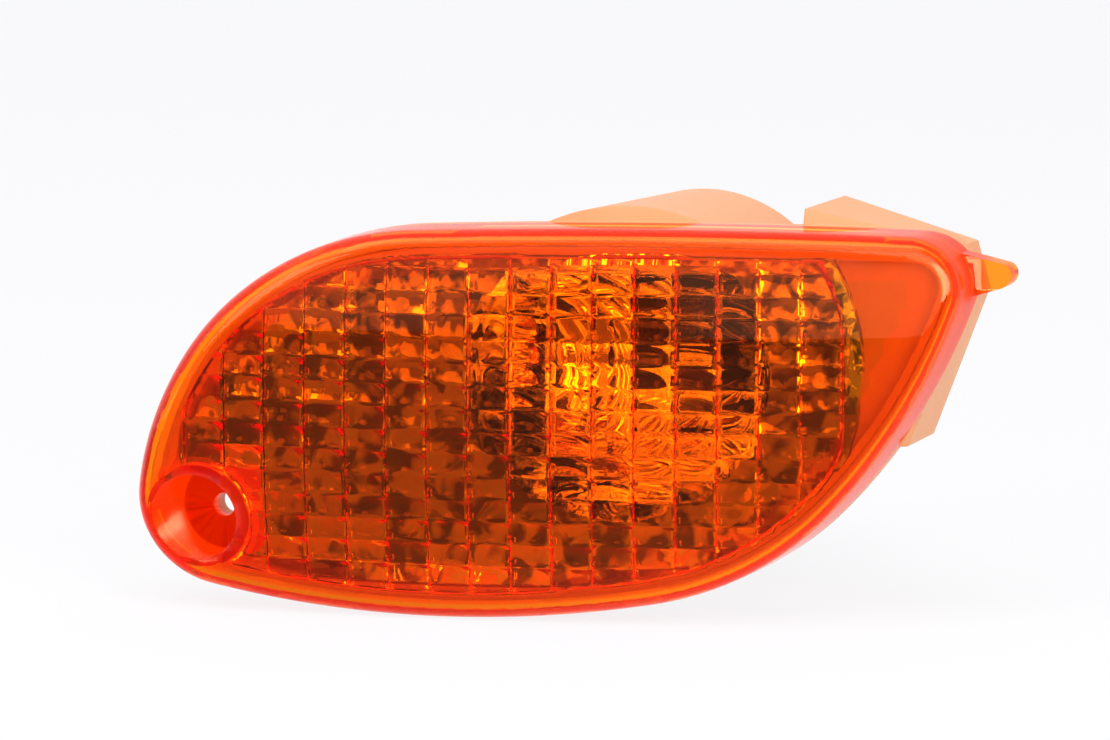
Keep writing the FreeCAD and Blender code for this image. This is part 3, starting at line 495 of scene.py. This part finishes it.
paper, tree, shader = new_finish("floor_paper")
shader.inputs["Base Color"].default_value = (0.90, 0.90, 0.91, 1.0)
shader.inputs["Roughness"].default_value = 0.9
glow = add_node(tree, "ShaderNodeEmission")
glow.inputs["Color"].default_value = backdrop_white
share = add_node(tree, "ShaderNodeMath", operation="MULTIPLY")
share.inputs[1].default_value = floor_glow
path = add_node(tree, "ShaderNodeLightPath")
tree.links.new(seen_directly(tree, path), share.inputs[0])
place = add_node(tree, "ShaderNodeTexCoord")
along = add_node(tree, "ShaderNodeSeparateXYZ")
tree.links.new(place.outputs["Object"], along.inputs["Vector"])
ahead = add_node(tree, "ShaderNodeMapRange", interpolation_type="SMOOTHSTEP")
ahead.inputs["From Min"].default_value = dim_from
ahead.inputs["From Max"].default_value = dim_to
ahead.inputs["To Min"].default_value = dim_floor
tree.links.new(along.outputs["Y"], ahead.inputs["Value"])
shown = add_node(tree, "ShaderNodeMath", operation="MAXIMUM")
tree.links.new(ahead.outputs["Result"], shown.inputs[0])
tree.links.new(path.outputs["Is Camera Ray"], shown.inputs[1])
tree.links.new(shown.outputs[0], glow.inputs["Strength"])
both = add_node(tree, "ShaderNodeMixShader")
tree.links.new(share.outputs[0], both.inputs[0])
tree.links.new(shader.outputs["BSDF"], both.inputs[1])
tree.links.new(glow.outputs["Emission"], both.inputs[2])
tree.links.new(both.outputs["Shader"], tree.nodes["Material Output"].inputs["Surface"])
floor_mesh.materials.append(paper)

room_front = (0.0, -0.99, -0.14)
room_bright, room_dim = 1.35, 0.66
card_direction = (0.840, -0.525, 0.139)
card_outer = math.radians(21)
card_inner = math.radians(15)
card_strength = 15.0
ambient = 0.55
world = bpy.data.worlds.new("studio")
bpy.context.scene.world = world
world.use_nodes = True
tree = world.node_tree
backdrop = tree.nodes["Background"]
backdrop.inputs["Color"].default_value = backdrop_white
place = add_node(tree, "ShaderNodeTexCoord")
along = add_node(tree, "ShaderNodeSeparateXYZ")
tree.links.new(place.outputs["Generated"], along.inputs["Vector"])
toward = add_node(tree, "ShaderNodeVectorMath", operation="DOT_PRODUCT")
toward.inputs[1].default_value = room_front
tree.links.new(place.outputs["Generated"], toward.inputs[0])
depth = add_node(tree, "ShaderNodeMapRange", interpolation_type="SMOOTHSTEP")
depth.inputs["From Min"].default_value = 0.76
depth.inputs["From Max"].default_value = 0.95
depth.inputs["To Min"].default_value = room_bright
depth.inputs["To Max"].default_value = room_dim
tree.links.new(toward.outputs["Value"], depth.inputs["Value"])
room = add_node(tree, "ShaderNodeMapRange", interpolation_type="SMOOTHSTEP")
room.inputs["From Min"].default_value = -0.30
room.inputs["From Max"].default_value = 0.10
room.inputs["To Max"].default_value = 1.0
tree.links.new(along.outputs["Y"], room.inputs["Value"])
things = add_node(tree, "ShaderNodeTexNoise")
things.inputs["Scale"].default_value = 3.2
things.inputs["Detail"].default_value = 0.0
tree.links.new(place.outputs["Generated"], things.inputs["Vector"])
shelves = add_node(tree, "ShaderNodeMapRange", interpolation_type="SMOOTHSTEP")
shelves.inputs["From Min"].default_value = 0.42
shelves.inputs["From Max"].default_value = 0.58
shelves.inputs["To Min"].default_value = 0.40
shelves.inputs["To Max"].default_value = 1.6
tree.links.new(things.outputs["Fac"], shelves.inputs["Value"])
crowded = add_node(tree, "ShaderNodeMath", operation="MULTIPLY")
tree.links.new(depth.outputs["Result"], crowded.inputs[0])
tree.links.new(shelves.outputs["Result"], crowded.inputs[1])
beside = add_node(tree, "ShaderNodeVectorMath", operation="DOT_PRODUCT")
beside.inputs[1].default_value = card_direction
tree.links.new(place.outputs["Generated"], beside.inputs[0])
card = add_node(tree, "ShaderNodeMapRange", interpolation_type="SMOOTHSTEP")
card.inputs["From Min"].default_value = math.cos(card_outer)
card.inputs["From Max"].default_value = math.cos(card_inner)
card.inputs["To Max"].default_value = card_strength
tree.links.new(beside.outputs["Value"], card.inputs["Value"])
lit = add_node(tree, "ShaderNodeMath", operation="ADD")
tree.links.new(crowded.outputs[0], lit.inputs[0])
tree.links.new(card.outputs["Result"], lit.inputs[1])
tree.links.new(lit.outputs[0], room.inputs["To Min"])
path = add_node(tree, "ShaderNodeLightPath")
surround = add_node(tree, "ShaderNodeMath", operation="MAXIMUM")
tree.links.new(room.outputs["Result"], surround.inputs[0])
tree.links.new(path.outputs["Is Camera Ray"], surround.inputs[1])
level = add_node(tree, "ShaderNodeMix", data_type="FLOAT")
level.inputs["A"].default_value = ambient
tree.links.new(seen_directly(tree, path), level.inputs["Factor"])
tree.links.new(surround.outputs[0], level.inputs["B"])
tree.links.new(level.outputs["Result"], backdrop.inputs["Strength"])

middle = (cad_low + cad_high) / 2


def softbox(name, spot, width, height, watts):
    """A rectangular lamp at a spot measured from the middle of the object."""
    lamp = bpy.data.lights.new(name, "AREA")
    lamp.shape = "RECTANGLE"
    lamp.size = width
    lamp.size_y = height
    lamp.energy = watts
    holder = bpy.data.objects.new(name, lamp)
    holder.location = middle + Vector(spot)
    holder.rotation_euler = (-Vector(spot)).to_track_quat("-Z", "Y").to_euler()
    bpy.context.scene.collection.objects.link(holder)


softbox("top_softbox", (0.05, -0.30, 0.80), width=0.9, height=0.5, watts=4.0)
softbox("left_softbox", (-0.45, -0.90, 0.45), width=0.35, height=0.6, watts=3.0)
softbox("right_softbox", (0.66, -0.55, 0.48), width=0.5, height=0.5, watts=3.0)

# Light goes many times round inside thick amber before it leaves.
bpy.context.scene.cycles.max_bounces = 32
bpy.context.scene.cycles.glossy_bounces = 24
bpy.context.scene.cycles.transmission_bounces = 32
bpy.context.scene.view_settings.view_transform = "Standard"

# Camera: a long lens three metres away, a little to the outboard side of the lamp
# and above it, framed for a picture of 1110 by 740.
picture_width = 1110
turn = math.radians(25.0)
rise = math.radians(11.0)
right = Vector((math.cos(turn), math.sin(turn), 0.0))
upward = Vector((-math.sin(turn) * math.sin(rise), math.cos(turn) * math.sin(rise),
                 math.cos(rise)))
back = right.cross(upward)
pixels_per_metre = 4750.0
aim = right * 0.06725 + upward * 0.0273
distance = 3.0
camera_data = bpy.data.cameras.new("camera")
camera_data.sensor_width = 36.0
camera_data.lens = camera_data.sensor_width * distance / (picture_width / pixels_per_metre)
camera = bpy.data.objects.new("camera", camera_data)
camera.matrix_world = Matrix.Translation(aim + back * distance) @ Matrix(
    (right, upward, back)).transposed().to_4x4()
bpy.context.scene.collection.objects.link(camera)
bpy.context.scene.camera = camera
